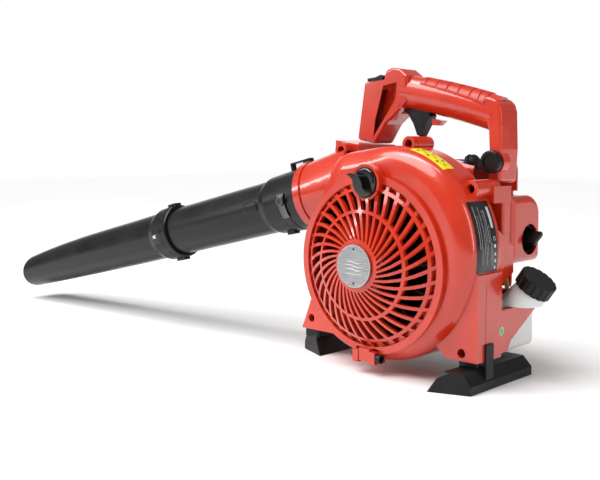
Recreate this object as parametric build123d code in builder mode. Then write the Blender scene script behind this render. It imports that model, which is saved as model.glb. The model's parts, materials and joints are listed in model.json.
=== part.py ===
from build123d import *
from math import cos, radians, sin, tan
import os

# Hand-held petrol leaf blower. Millimetres, +Z up, standing on its two feet, blowing towards -X.
# Every outline is dimensioned from the fan shaft (X = 0 there), from the front face of the
# scroll (Y = 0 there) and from the ground. FAN_X and FAN_Y then put the origin of the part on
# the ground under the middle of the whole machine.

# ---- driving dimensions ----
FAN_X = 284.72           # fan shaft, from the middle of the machine
FAN_Y = -74.67           # front face of the scroll, from the middle of the machine
FAN_Z = 124.0            # fan shaft above the ground

SCROLL_BOTTOM = 112.0    # scroll outline, from the fan shaft downwards
SCROLL_REAR = 130.0      # ... towards the rear
SCROLL_TOP = 132.0       # ... upwards
SCROLL_DEPTH = 60.0      # front face to rear wall
SPLIT_Y = 29.0           # parting line of the two case halves
CASE_WALL = 3.0
FRONT_ROUND = 22.0       # round on the front edge of the scroll
REAR_ROUND = 5.0
INTAKE_R = 88.0

RIM_X = -128.5           # outlet rim, centre
RIM_Y = 43.4
RIM_Z = 193.7
RIM_R = 42.0
RIM_BORE_R = 39.0
BLOW_DROP = 13.5         # degrees that the tube points below level
BLOW_YAW = 5.0           # degrees that the tube points towards -Y

GRILLE_R = 101.0
GRILLE_DOME = 29.0       # how far the grille's hub stands in front of its ring
GRILLE_HUB_R = 29.5
RIB_COUNT = 36
RIB_SWEEP = 35.0         # degrees a rib turns from hub to ring
KNOB_BORE_R = 3.6        # bore of the grille's lock knob

TUBE_R = 33.5
TUBE_WALL = 2.2
COLLAR_R = 40.0
COLLAR_END = 67.0        # from the rim to where the collar meets the bare tube
TUBE_LENGTH = 271.0      # from the rim to the tube's free end
NOZZLE_START = 248.0     # from the rim to the nozzle's bell
NOZZLE_END = 634.0       # from the rim to the nozzle's tip
BELL_R = 38.0
CLIP_S = 23.0            # from the rim to the steel clip on the collar

CRANK_Y = 106.0          # mid-plane of cylinder and connecting rod
CASE_FRONT_Y = 76.0      # crankcase, front face
CASE_REAR_Y = 136.0      # crankcase, rear face
CRANKCASE_R = 38.0
CYLINDER_BASE_Z = 158.0
BORE_R = 17.0
THROW = 14.0             # crank throw: a 28 mm stroke
INTAKE_Z = 167.0         # intake port, insulator and carburettor bore
PUMP_Z = 147.0           # underside of the carburettor
ROD_LENGTH = 50.0
FIN_R = 36.0

HANDLE_Y = 93.0          # parting plane of the handle halves
HANDLE_HALF = 18.0       # half width of the handle
GRIP_TALL = 40.0
GRIP_WIDE = 37.0
HANDLE_WALL = 3.0

FOOT_BACK = 120.0        # far end of the feet
RUN = 0.3                # gap between faces that move past each other


def at(x, y, z):
    """A point given from the fan shaft, the scroll's front face and the ground."""
    return Vector(FAN_X + x, FAN_Y + y, z)


def side(y):
    """Upright plane at depth y: x is the machine's +X, y is up, normal towards -Y."""
    return Plane(origin=at(0, y, 0), x_dir=(1, 0, 0), z_dir=(0, -1, 0))


def fan(y):
    """The same plane with its zero on the fan shaft."""
    return Plane(origin=at(0, y, FAN_Z), x_dir=(1, 0, 0), z_dir=(0, -1, 0))


def rear(x):
    """Upright plane at x, seen from behind: x is +Y, y is up, normal towards +X."""
    return Plane(origin=at(x, 0, 0), x_dir=(0, 1, 0), z_dir=(1, 0, 0))


def level(z):
    return Plane(origin=at(0, 0, z), x_dir=(1, 0, 0), z_dir=(0, 0, 1))


def shaft_section():
    """Plane through the fan shaft: x is the radius, y is the depth."""
    return Plane(origin=at(0, 0, FAN_Z), x_dir=(1, 0, 0), z_dir=(0, 0, 1))


SHAFT = Axis(at(0, 0, FAN_Z), (0, 1, 0))

# Direction of the air, and the level direction square to it.
BLOW = Vector(
    -cos(radians(BLOW_DROP)) * cos(radians(BLOW_YAW)),
    -cos(radians(BLOW_DROP)) * sin(radians(BLOW_YAW)),
    -sin(radians(BLOW_DROP)),
)
ACROSS = Vector(sin(radians(BLOW_YAW)), -cos(radians(BLOW_YAW)), 0)
RIM = at(RIM_X, RIM_Y, RIM_Z)
BLOW_AXIS = Axis(RIM, BLOW)


def blow_plane(s):
    """Plane square to the air tube, s downstream of the rim: x towards -Y, y up."""
    return Plane(origin=RIM + BLOW * s, x_dir=ACROSS, z_dir=BLOW)


def blow_section():
    """Plane through the tube's axis: x is the way downstream, y is the radius."""
    return Plane(origin=RIM, x_dir=BLOW, z_dir=ACROSS * -1)


# ---- scroll case ----

def scroll_outline(y, inset=0.0):
    with BuildSketch(fan(y)) as outline:
        with BuildLine():
            low = ThreePointArc(
                (-103, 44), (-0.7071 * SCROLL_BOTTOM, -0.7071 * SCROLL_BOTTOM), (0, -SCROLL_BOTTOM)
            )
            back = TangentArc((0, -SCROLL_BOTTOM), (SCROLL_REAR, 0), tangent=(1, 0))
            top = TangentArc((SCROLL_REAR, 0), (0, SCROLL_TOP), tangent=back % 1)
            roof = Line(top @ 1, (-62, 123.5))
            Line(roof @ 1, low @ 0)
        make_face()
        fillet(outline.vertices().sort_by(Axis.X)[0:2], 30)
        if inset:
            offset(amount=-inset, kind=Kind.INTERSECTION)
    return outline.sketch


def scroll_body(inset):
    """The solid scroll, shrunk by inset all round."""
    with BuildPart() as body:
        extrude(to_extrude=scroll_outline(inset, inset), amount=-(SCROLL_DEPTH - 2 * inset))
        near = body.edges().filter_by_position(Axis.Y, FAN_Y + inset - 0.1, FAN_Y + inset + 0.1)
        fillet(near, FRONT_ROUND - inset)
        far_y = FAN_Y + SCROLL_DEPTH - inset
        far = body.edges().filter_by_position(Axis.Y, far_y - 0.1, far_y + 0.1)
        fillet(far, REAR_ROUND - inset)
    return body.part


def neck_body(inset):
    """The outlet neck, oval where it leaves the scroll and round at the rim."""
    with BuildPart() as body:
        with BuildSketch(blow_plane(-76)) as inlet:
            Ellipse(41.5 - inset, 49 - inset)
        with BuildSketch(blow_plane(0 if inset == 0 else 1)) as outlet:
            Circle(RIM_R - inset)
        loft(sections=[inlet.sketch, outlet.sketch])
    return body.part


BOSSES = [  # x, z, outer radius, rear end
    (-72.0, 252.0, 9.0, 66.0),
    (29.0, 259.0, 8.5, 66.0),
    (111.0, 211.0, 9.5, 74.0),
]


def air_way():
    """The hollow of the scroll and its neck."""
    with BuildPart() as way:
        add(scroll_body(CASE_WALL))
        add(neck_body(CASE_WALL))
    return way.part


def case_holes():
    """Every bore through the case: screws, lock knob and hinge pin."""
    with BuildPart() as holes:
        for x, z, _, end in BOSSES:
            with BuildSketch(side(SPLIT_Y)):
                with Locations((x, z)):
                    Circle(5)
            extrude(amount=-12)
            with BuildSketch(side(SPLIT_Y)):
                with Locations((x, z)):
                    Circle(2.7)
            extrude(amount=-(end + 1 - SPLIT_Y))
        with BuildSketch(side(0)):
            with Locations((112, 38), (-112, 44)):
                Circle(5)
        extrude(amount=-(20 + 10))
        with BuildSketch(side(-10)):
            with Locations((0, 216)):
                Circle(KNOB_BORE_R)
        extrude(amount=-24)
        with BuildSketch(rear(-30)):
            with Locations((-8, 20)):
                Circle(2.55)
        extrude(amount=60)
    return holes.part


def case_fittings():
    """What stands on the scroll: bosses, panels, lugs, arm, column and saddle."""
    with BuildPart() as trim:
        for x, z, radius, end in BOSSES:
            with BuildSketch(side(SPLIT_Y)):
                with Locations((x, z)):
                    Circle(radius)
            extrude(amount=-(end - SPLIT_Y))
        # rear panel, down to the rear foot
        with BuildSketch(side(14)):
            Polygon((92, 30), (132, 30), (132, 122), (112, 134), (60, 60), align=None)
        extrude(amount=-(SCROLL_DEPTH - 14))
        # front bracket, down to the front foot
        with BuildSketch(side(20)):
            Polygon((-60, 30), (-128, 30), (-122, 44), (-100, 100), (-60, 60), align=None)
        extrude(amount=-(SCROLL_DEPTH - 20))
        # lug of the grille's lock knob, and the two ears of its hinge
        with BuildSketch(side(0.5)):
            with Locations((0, 216)):
                Circle(12)
            with Locations((0, FAN_Z)):
                Circle(INTAKE_R, mode=Mode.SUBTRACT)
        extrude(amount=-18)
        with BuildSketch(side(-13)):
            with Locations((-12, 20), (12, 20)):
                Rectangle(8, 14)
        extrude(amount=-20)
        # web and column that carry the rear end of the handle
        with BuildSketch(rear(127)):
            Polygon((50, 100), (91, 118), (91, 146), (60, 166), (50, 166), align=None)
        extrude(amount=-9)
        with BuildSketch(level(118)):
            with Locations((110.5, 83)):
                RectangleRounded(25, 16, 3)
        extrude(amount=213 - 118)
        with BuildSketch(side(56)):
            Polygon((98, 198), (123, 195), (123, 213), (98, 213), align=None)
        extrude(amount=-(91 - 56))
        # arm under the fuel tank
        with BuildSketch(rear(132)):
            Polygon((50, 80), (136, 80), (134, 75), (80, 45), (73, 34), (50, 34), align=None)
        extrude(amount=-7)
        # saddle of the handle's front post
        with BuildSketch(side(40)):
            Polygon((-90, 240), (-90, 264), (-54, 258.5), (-54, 236), align=None)
        extrude(amount=-(111 - 40))
        # pocket behind the rear panel
        with BuildSketch(side(17)):
            Polygon((112, 36), (128, 36), (128, 84), (121, 84), align=None)
        extrude(amount=-60, mode=Mode.SUBTRACT)
        add(air_way(), mode=Mode.SUBTRACT)
        add(case_holes(), mode=Mode.SUBTRACT)
    return trim.part


def case_shell():
    """Bare scroll and neck, hollow, with the intake, the shaft hole and the outlet's rim."""
    with BuildPart() as shell:
        add(scroll_body(0))
        add(neck_body(0))
        add(air_way(), mode=Mode.SUBTRACT)
        with BuildSketch(side(-30)):
            with Locations((0, FAN_Z)):
                Circle(INTAKE_R)
        extrude(amount=-(30 + SPLIT_Y - 5), mode=Mode.SUBTRACT)
        with BuildSketch(side(SPLIT_Y + 1)):
            with Locations((0, FAN_Z)):
                Circle(12)
        extrude(amount=-60, mode=Mode.SUBTRACT)
        with BuildSketch(blow_plane(-10)):
            Circle(RIM_R + 2)
            Circle(RIM_R - 1, mode=Mode.SUBTRACT)
        extrude(amount=10)
    return shell.part


def case_half(keep):
    """One half of the case: its shell, then each fitting on it."""
    with BuildPart() as fittings:
        add(case_fittings())
        split(bisect_by=side(SPLIT_Y), keep=keep)
    with BuildPart() as half:
        add(case_shell())
        split(bisect_by=side(SPLIT_Y), keep=keep)
        add(case_holes(), mode=Mode.SUBTRACT)
        for fitting in fittings.part.solids():
            add(fitting)
    return half.part


# ---- pieces ----

def make_case():
    with BuildPart() as volute_front_shell:
        add(case_half(Keep.TOP))
    volute_front_shell.part.label = "volute_front_shell"
    export_step(volute_front_shell.part, "parts/volute_front_shell.step")
    with BuildPart() as volute_rear_shell:
        add(case_half(Keep.BOTTOM))
    volute_rear_shell.part.label = "volute_rear_shell"
    export_step(volute_rear_shell.part, "parts/volute_rear_shell.step")


def make_case_screws():
    """Five socket screws, seated 6 mm down in their bosses."""
    with BuildPart() as case_screws:
        seats = [(x, z, SPLIT_Y + 7) for x, z, _, _ in BOSSES] + [(112, 38, 26), (-112, 44, 26)]
        for x, z, head_y in seats:
            with BuildSketch(side(head_y)):
                with Locations((x, z)):
                    Circle(4.6)
                    RegularPolygon(2.2, 6, mode=Mode.SUBTRACT)
            extrude(amount=-4)
    case_screws.part.label = "case_screws"
    export_step(case_screws.part, "parts/case_screws.step")


def rib_face():
    """One swirling rib of the grille, seen along the shaft, from hub to ring."""
    inner, middle, outer = GRILLE_HUB_R - 2, 62.0, 96.0
    bend, half = RIB_SWEEP * 0.62, RIB_SWEEP

    def polar(radius, angle, shift):
        turn = radians(angle) + shift / radius
        return (radius * cos(turn), radius * sin(turn))

    with BuildSketch(fan(-40)) as rib:
        with BuildLine():
            ThreePointArc(polar(inner, 0, -1.3), polar(middle, bend, -1.9), polar(outer, half, -2.3))
            Line(polar(outer, half, -2.3), polar(outer, half, 2.3))
            ThreePointArc(polar(outer, half, 2.3), polar(middle, bend, 1.9), polar(inner, 0, 1.3))
            Line(polar(inner, 0, 1.3), polar(inner, 0, -1.3))
        make_face()
    return rib.sketch


def make_intake_grille():
    sphere = (98.0 ** 2 + GRILLE_DOME ** 2) / (2 * GRILLE_DOME)
    with BuildPart() as intake_grille:
        for number in range(RIB_COUNT):
            extrude(to_extrude=rib_face().rotate(SHAFT, number * 360 / RIB_COUNT), amount=-45)
        with BuildSketch(fan(-40)):
            Circle(62)
            Circle(58.5, mode=Mode.SUBTRACT)
        extrude(amount=-45)
        with BuildSketch(fan(-40)):
            Circle(87.5)
            Circle(84, mode=Mode.SUBTRACT)
        extrude(amount=-45)
        with BuildSketch(fan(-40)):
            Circle(GRILLE_HUB_R)
        extrude(amount=-45)
        with BuildSketch(shaft_section()):
            with Locations((0, sphere - GRILLE_DOME)):
                Circle(sphere)
                Circle(sphere - 5, mode=Mode.SUBTRACT)
            with Locations((-sphere, 0)):
                Rectangle(2 * sphere, 4 * sphere, mode=Mode.SUBTRACT)
            with Locations((0, 3 * sphere - 0.3)):
                Rectangle(4 * sphere, 6 * sphere, mode=Mode.SUBTRACT)
        revolve(axis=SHAFT, revolution_arc=360, mode=Mode.INTERSECT)
        with BuildSketch(fan(-5.5)):
            Circle(GRILLE_R)
            Circle(GRILLE_R - 8, mode=Mode.SUBTRACT)
        extrude(amount=-(5.5 - RUN))
        # socket of the lock knob
        with BuildSketch(side(-40)):
            with Locations((0, 216)):
                Circle(18.5)
        extrude(amount=-31, mode=Mode.SUBTRACT)
        with BuildSketch(side(-12)):
            with Locations((0, 216)):
                Circle(20.5)
                Circle(17.5, mode=Mode.SUBTRACT)
        extrude(amount=-(12 - RUN))
        with BuildSketch(side(-9)):
            with Locations((0, 216)):
                Circle(18.5)
        extrude(amount=-(9 - RUN))
        with BuildSketch(side(-12)):
            with Locations((0, 22)):
                Rectangle(15.2, 14)
        extrude(amount=-(12 - RUN))
        with BuildSketch(side(-20)):
            with Locations((-12, 16), (12, 16)):
                Rectangle(9, 26)
            with Locations((0, 216)):
                Circle(KNOB_BORE_R)
        extrude(amount=-30, mode=Mode.SUBTRACT)
        with BuildSketch(rear(-30)):
            with Locations((-8, 20)):
                Circle(2.55)
        extrude(amount=60, mode=Mode.SUBTRACT)
    intake_grille.part.label = "intake_grille"
    export_step(intake_grille.part, "parts/intake_grille.step")


def make_grille_trim():
    with BuildPart() as grille_badge:
        with BuildSketch(fan(-GRILLE_DOME - 1.4)):
            Circle(24)
        extrude(amount=-1.4)
    grille_badge.part.label = "grille_badge"
    export_step(grille_badge.part, "parts/grille_badge.step")
    with BuildPart() as grille_hinge_pin:
        with BuildSketch(rear(-20)):
            with Locations((-8, 20)):
                Circle(2.5)
        extrude(amount=40)
        with BuildSketch(rear(16.2)):
            with Locations((-8, 20)):
                Circle(5)
                RegularPolygon(2.6, 6, mode=Mode.SUBTRACT)
        extrude(amount=6)
    grille_hinge_pin.part.label = "grille_hinge_pin"
    export_step(grille_hinge_pin.part, "parts/grille_hinge_pin.step")


def make_grille_knob():
    """Quarter-turn lock knob with a raised S-shaped wing."""
    with BuildPart() as grille_knob:
        with BuildSketch(side(-9.3)):
            with Locations((0, 216)):
                Circle(16.5)
        extrude(amount=6)
        fillet(grille_knob.faces().sort_by(Axis.Y)[0].edges(), 2.5)
        with BuildSketch(side(-15)):
            with BuildLine():
                ThreePointArc((-17.5, 225), (-3, 224.5), (5, 214))
                ThreePointArc((5, 214), (8, 208), (14, 206.5))
                ThreePointArc((14, 206.5), (4, 204), (-4, 211))
                ThreePointArc((-4, 211), (-9, 219), (-17.5, 225))
            make_face()
        extrude(amount=8)
        with BuildSketch(side(-9.4)):
            with Locations((0, 216)):
                Circle(KNOB_BORE_R - 0.4)
        extrude(amount=-22)
    grille_knob.part.label = "grille_knob"
    export_step(grille_knob.part, "parts/grille_knob.step")


def make_impeller():
    with BuildPart() as impeller:
        with BuildSketch(fan(47)):
            Circle(87)
        extrude(amount=-3)
        with BuildSketch(fan(18)):
            Circle(15)
        extrude(amount=-30)
        with BuildSketch(fan(17)) as blades:
            with PolarLocations(0, 12):
                with Locations((50, 0, 0)):
                    Rectangle(72, 2.4, rotation=14)
        extrude(amount=-31)
        with BuildSketch(shaft_section()):
            Rectangle(87, 60, align=(Align.MIN, Align.MIN))
        revolve(axis=SHAFT, revolution_arc=360, mode=Mode.INTERSECT)
        with BuildSketch(fan(0)):
            Circle(7.02)
        extrude(amount=-60, mode=Mode.SUBTRACT)
    impeller.part.label = "impeller"
    export_step(impeller.part, "parts/impeller.step")


def crank_web(plane):
    """A web: round counterweight below, arm up to the crank pin."""
    with BuildSketch(plane) as web:
        Circle(25)
        with Locations((0, 26)):
            Rectangle(60, 30, mode=Mode.SUBTRACT)
        with Locations((0, THROW / 2)):
            Rectangle(18, THROW + 16)
        with Locations((0, THROW)):
            Circle(9)
    return web.sketch


def make_crankshaft():
    with BuildPart() as crankshaft_front:
        with BuildSketch(fan(16)):
            Circle(7)
        extrude(amount=-81)
        extrude(to_extrude=crank_web(fan(96)), amount=-5)
        with BuildSketch(fan(101)):
            with Locations((0, THROW)):
                Circle(5)
        extrude(amount=-2.7)
    crankshaft_front.part.label = "crankshaft_front"
    export_step(crankshaft_front.part, "parts/crankshaft_front.step")
    with BuildPart() as crankshaft_rear:
        with BuildSketch(fan(115)):
            Circle(7)
        extrude(amount=-47)
        extrude(to_extrude=crank_web(fan(111)), amount=-5)
        with BuildSketch(fan(108.3)):
            with Locations((0, THROW)):
                Circle(5)
        extrude(amount=-2.8)
    crankshaft_rear.part.label = "crankshaft_rear"
    export_step(crankshaft_rear.part, "parts/crankshaft_rear.step")
    with BuildPart() as impeller_nut:
        with BuildSketch(fan(11)):
            RegularPolygon(9, 6)
        extrude(amount=-5)
    impeller_nut.part.label = "impeller_nut"
    export_step(impeller_nut.part, "parts/impeller_nut.step")


def make_bearings():
    with BuildPart() as crank_bearings:
        for start in (78, 126):
            with BuildSketch(fan(start)):
                Circle(13)
                Circle(7.05, mode=Mode.SUBTRACT)
            extrude(amount=-8)
    crank_bearings.part.label = "crank_bearings"
    export_step(crank_bearings.part, "parts/crank_bearings.step")


def crankcase_shell():
    """Front half of the crankcase, without its mounting legs."""
    with BuildPart() as shell:
        with BuildSketch(fan(CASE_FRONT_Y)):
            Circle(CRANKCASE_R)
            with Locations((0, 17)):
                Rectangle(58, 34)
        extrude(amount=-(CRANK_Y - CASE_FRONT_Y))
        with BuildSketch(level(CYLINDER_BASE_Z)):
            with Locations((0, CRANK_Y)):
                Rectangle(100, 100)
        extrude(amount=20, mode=Mode.SUBTRACT)
        with BuildSketch(fan(88)):
            Circle(30)
        extrude(amount=-20, mode=Mode.SUBTRACT)
        with BuildSketch(fan(78)):
            Circle(13)
        extrude(amount=-12, mode=Mode.SUBTRACT)
        with BuildSketch(fan(70)):
            Circle(9)
        extrude(amount=-12, mode=Mode.SUBTRACT)
        with BuildSketch(level(FAN_Z + 10)):
            with Locations((0, CRANK_Y)):
                Circle(18)
        extrude(amount=40, mode=Mode.SUBTRACT)
    return shell.part


def make_crankcase():
    with BuildPart() as crankcase_front:
        add(crankcase_shell())
        with BuildSketch(fan(SCROLL_DEPTH)):
            with GridLocations(50, 50, 2, 2):
                Circle(5.5)
        extrude(amount=-(CASE_FRONT_Y - SCROLL_DEPTH + 4))
    crankcase_front.part.label = "crankcase_front"
    export_step(crankcase_front.part, "parts/crankcase_front.step")
    with BuildPart() as crankcase_rear:
        mirror(crankcase_shell(), about=side(CRANK_Y))
    crankcase_rear.part.label = "crankcase_rear"
    export_step(crankcase_rear.part, "parts/crankcase_rear.step")


PLUG_POINT = (14.0, 209.0)
PLUG_TILT = 30.0         # degrees of the spark plug above level, pointing to the rear


def plug_plane(s):
    """Plane square to the spark plug, s out from its seat."""
    tilt = radians(PLUG_TILT)
    origin = at(PLUG_POINT[0] + s * cos(tilt), CRANK_Y, PLUG_POINT[1] + s * sin(tilt))
    return Plane(origin=origin, x_dir=(0, 1, 0), z_dir=(cos(tilt), 0, sin(tilt)))


def make_cylinder():
    with BuildPart() as cylinder:
        with BuildSketch(level(CYLINDER_BASE_Z)):
            with Locations((0, CRANK_Y)):
                RectangleRounded(56, 50, 6)
        extrude(amount=5)
        with BuildSketch(level(CYLINDER_BASE_Z)):
            with Locations((0, CRANK_Y)):
                Circle(22)
        extrude(amount=58)
        for number in range(8):
            with BuildSketch(level(168 + 6.2 * number)):
                with Locations((0, CRANK_Y)):
                    RectangleRounded(2 * FIN_R - 2, 2 * FIN_R - 2, 14)
            extrude(amount=2)
        with BuildSketch(rear(-38)):
            with Locations((CRANK_Y, 169.5)):
                RectangleRounded(34, 22, 4)
        extrude(amount=76)
        with BuildSketch(plug_plane(-8)):
            Circle(11)
        extrude(amount=11)
        with BuildSketch(plug_plane(3)):
            Circle(11)
        extrude(amount=40, mode=Mode.SUBTRACT)
        with BuildSketch(level(100)):
            with Locations((0, CRANK_Y)):
                Circle(BORE_R)
        extrude(amount=106, mode=Mode.SUBTRACT)
        with BuildSketch(rear(-60)):
            with Locations((CRANK_Y, 171)):
                Circle(8)
        extrude(amount=60, mode=Mode.SUBTRACT)
        with BuildSketch(rear(0)):
            with Locations((CRANK_Y, INTAKE_Z)):
                Circle(7)
        extrude(amount=60, mode=Mode.SUBTRACT)
        with BuildSketch(plug_plane(-20)):
            Circle(5)
        extrude(amount=60, mode=Mode.SUBTRACT)
    cylinder.part.label = "cylinder"
    export_step(cylinder.part, "parts/cylinder.step")


def make_piston():
    pin_z = FAN_Z + THROW + ROD_LENGTH
    with BuildPart() as piston:
        with BuildSketch(level(pin_z - 9)):
            with Locations((0, CRANK_Y)):
                Circle(BORE_R - 0.08)
        extrude(amount=24)
        with BuildSketch(level(pin_z - 10)):
            with Locations((0, CRANK_Y)):
                Circle(BORE_R - 2.5)
        extrude(amount=20, mode=Mode.SUBTRACT)
        for groove in (9.5, 12):
            with BuildSketch(level(pin_z + groove)):
                with Locations((0, CRANK_Y)):
                    Circle(BORE_R)
                    Circle(BORE_R - 1, mode=Mode.SUBTRACT)
            extrude(amount=1.2, mode=Mode.SUBTRACT)
        with BuildSketch(side(CRANK_Y - 20)):
            with Locations((0, pin_z)):
                Circle(4)
        extrude(amount=-40, mode=Mode.SUBTRACT)
    piston.part.label = "piston"
    export_step(piston.part, "parts/piston.step")
    with BuildPart() as wrist_pin:
        with BuildSketch(side(CRANK_Y - 15)):
            with Locations((0, pin_z)):
                Circle(3.95)
        extrude(amount=-30)
    wrist_pin.part.label = "wrist_pin"
    export_step(wrist_pin.part, "parts/wrist_pin.step")
    with BuildPart() as connecting_rod:
        with BuildSketch(side(CRANK_Y - 2)):
            with Locations((0, pin_z)):
                Circle(7)
            with Locations((0, pin_z - ROD_LENGTH)):
                Circle(8)
            with Locations((0, pin_z - ROD_LENGTH / 2)):
                Rectangle(8, ROD_LENGTH - 8)
            with Locations((0, pin_z)):
                Circle(4, mode=Mode.SUBTRACT)
            with Locations((0, pin_z - ROD_LENGTH)):
                Circle(5, mode=Mode.SUBTRACT)
        extrude(amount=-4)
    connecting_rod.part.label = "connecting_rod"
    export_step(connecting_rod.part, "parts/connecting_rod.step")


def make_flywheel():
    with BuildPart() as flywheel:
        with BuildSketch(fan(142)):
            Circle(41)
        extrude(amount=-13)
        with BuildSketch(fan(141)):
            Circle(33)
            Circle(14, mode=Mode.SUBTRACT)
        extrude(amount=-9, mode=Mode.SUBTRACT)
        with BuildSketch(fan(143)):
            with PolarLocations(23, 12):
                Rectangle(19, 2.2)
        extrude(amount=-9)
        with BuildSketch(fan(130)):
            Circle(7.02)
        extrude(amount=-40, mode=Mode.SUBTRACT)
    flywheel.part.label = "flywheel"
    export_step(flywheel.part, "parts/flywheel.step")
    with BuildPart() as flywheel_nut:
        with BuildSketch(fan(155.2)):
            RegularPolygon(9, 6)
            Circle(7.02, mode=Mode.SUBTRACT)
        extrude(amount=-5)
    flywheel_nut.part.label = "flywheel_nut"
    export_step(flywheel_nut.part, "parts/flywheel_nut.step")
    with BuildPart() as ignition_coil:
        with BuildSketch(fan(143)):
            with Locations((0, 53)):
                Rectangle(38, 22)
            Circle(41.6, mode=Mode.SUBTRACT)
        extrude(amount=-13)
    ignition_coil.part.label = "ignition_coil"
    export_step(ignition_coil.part, "parts/ignition_coil.step")


def make_spark_plug():
    with BuildPart() as spark_plug:
        for start, length, radius in ((-2, 6, 4.9), (9, 10, 4.4), (19, 8, 2.5)):
            with BuildSketch(plug_plane(start)):
                Circle(radius)
            extrude(amount=length)
        with BuildSketch(plug_plane(3.1)):
            RegularPolygon(8, 6)
        extrude(amount=6)
    spark_plug.part.label = "spark_plug"
    export_step(spark_plug.part, "parts/spark_plug.step")
    with BuildPart() as plug_cap:
        with BuildSketch(plug_plane(17)):
            Circle(8.5)
        extrude(amount=48)
        fillet(plug_cap.faces().sort_by(Axis.X)[-1].edges(), 5)
        with BuildSketch(plug_plane(54)):
            Circle(10.5)
        extrude(amount=4)
        with BuildSketch(plug_plane(16)):
            Circle(4.8)
        extrude(amount=14, mode=Mode.SUBTRACT)
    plug_cap.part.label = "plug_cap"
    export_step(plug_cap.part, "parts/plug_cap.step")


MUFFLER_Y = 118.0


def make_muffler():
    with BuildPart() as muffler:
        with BuildSketch(level(150)):
            with Locations((-62, MUFFLER_Y)):
                RectangleRounded(46, 44, 8)
        extrude(amount=50)
        with BuildSketch(level(152)):
            with Locations((-62, MUFFLER_Y)):
                RectangleRounded(42, 40, 6)
        extrude(amount=46, mode=Mode.SUBTRACT)
        with BuildSketch(rear(-40)):
            with Locations((CRANK_Y, 171)):
                Circle(7.9)
        extrude(amount=4, mode=Mode.SUBTRACT)
        with BuildSketch(rear(-96)):
            with Locations((MUFFLER_Y + 8, 158)):
                Circle(5.5)
        extrude(amount=12)
        with BuildSketch(rear(-98)):
            with Locations((MUFFLER_Y + 8, 158)):
                Circle(4.5)
        extrude(amount=20, mode=Mode.SUBTRACT)
    muffler.part.label = "muffler"
    export_step(muffler.part, "parts/muffler.step")
    with BuildPart() as muffler_guard:
        with BuildSketch(level(146)):
            with Locations((-72, MUFFLER_Y)):
                RectangleRounded(38, 50, 9)
                RectangleRounded(33, 45, 7, mode=Mode.SUBTRACT)
            with Locations((-50, MUFFLER_Y)):
                Rectangle(20, 80, mode=Mode.SUBTRACT)
        extrude(amount=60)
        with BuildSketch(side(60)):
            with Locations((-76, 152)):
                with GridLocations(0, 9, 1, 6):
                    Rectangle(13, 4)
        extrude(amount=-100, mode=Mode.SUBTRACT)
        with BuildSketch(rear(-100)):
            with Locations((MUFFLER_Y, 180)):
                with GridLocations(10, 9, 4, 4):
                    Circle(3)
            with Locations((MUFFLER_Y + 8, 158)):
                Circle(7)
        extrude(amount=20, mode=Mode.SUBTRACT)
    muffler_guard.part.label = "muffler_guard"
    export_step(muffler_guard.part, "parts/muffler_guard.step")


SHROUD_FRONT = 66.5
SHROUD_REAR = 162.0
SHROUD_LEFT = -43.5
SHROUD_RIGHT = 84.0
SHROUD_TOP = 241.0


def make_engine_shroud():
    """An upside-down U over the engine, open towards muffler and carburettor."""
    with BuildPart() as engine_shroud:
        with BuildSketch(rear(SHROUD_LEFT)):
            with Locations(((SHROUD_FRONT + SHROUD_REAR) / 2, 162)):
                RectangleRounded(SHROUD_REAR - SHROUD_FRONT, 2 * (SHROUD_TOP - 162), 14)
        extrude(amount=89.5 - SHROUD_LEFT)
        # roof falls away towards the rear
        with BuildSketch(side(40)):
            Polygon((50, SHROUD_TOP), (120, 229), (120, 260), (50, 260), align=None)
        extrude(amount=-140, mode=Mode.SUBTRACT)
        with BuildSketch(rear(SHROUD_LEFT - 5)):
            with Locations(((SHROUD_FRONT + SHROUD_REAR) / 2, 150)):
                RectangleRounded(SHROUD_REAR - SHROUD_FRONT - 5, 2 * (SHROUD_TOP - 152.5), 11.5)
        extrude(amount=200, mode=Mode.SUBTRACT)
        # the front wall ends over the tank, the rear end clears the air filter
        with BuildSketch(side(40)):
            Polygon((-60, 60), (120, 60), (120, 200), (SHROUD_RIGHT, 200), (SHROUD_RIGHT, 158), (-60, 158),
                    align=None)
        extrude(amount=-60, mode=Mode.SUBTRACT)
        with BuildSketch(side(90)):
            Polygon((-60, 60), (120, 60), (120, 204), (SHROUD_RIGHT, 204), (SHROUD_RIGHT, 84), (-60, 84),
                    align=None)
        extrude(amount=-90, mode=Mode.SUBTRACT)
        # clear of the handle's saddle, hole for the starter, slots for cooling air
        with BuildSketch(side(40)):
            Polygon((-60, 230), (-41, 230), (-41, 260), (-60, 260), align=None)
        extrude(amount=-75, mode=Mode.SUBTRACT)
        with BuildSketch(fan(140)):
            Circle(40)
        extrude(amount=-40, mode=Mode.SUBTRACT)
        with BuildSketch(level(200)):
            with Locations((58, CRANK_Y)):
                RectangleRounded(62, 30, 6)
            with Locations((-20, CRANK_Y)):
                with GridLocations(12, 0, 5, 1):
                    RectangleRounded(5, 60, 2.4)
        extrude(amount=60, mode=Mode.SUBTRACT)
        with BuildSketch(side(150)):
            with Locations((0, 196)):
                with GridLocations(12, 0, 7, 1):
                    RectangleRounded(5, 36, 2.4)
        extrude(amount=-40, mode=Mode.SUBTRACT)
    engine_shroud.part.label = "engine_shroud"
    export_step(engine_shroud.part, "parts/engine_shroud.step")


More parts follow.
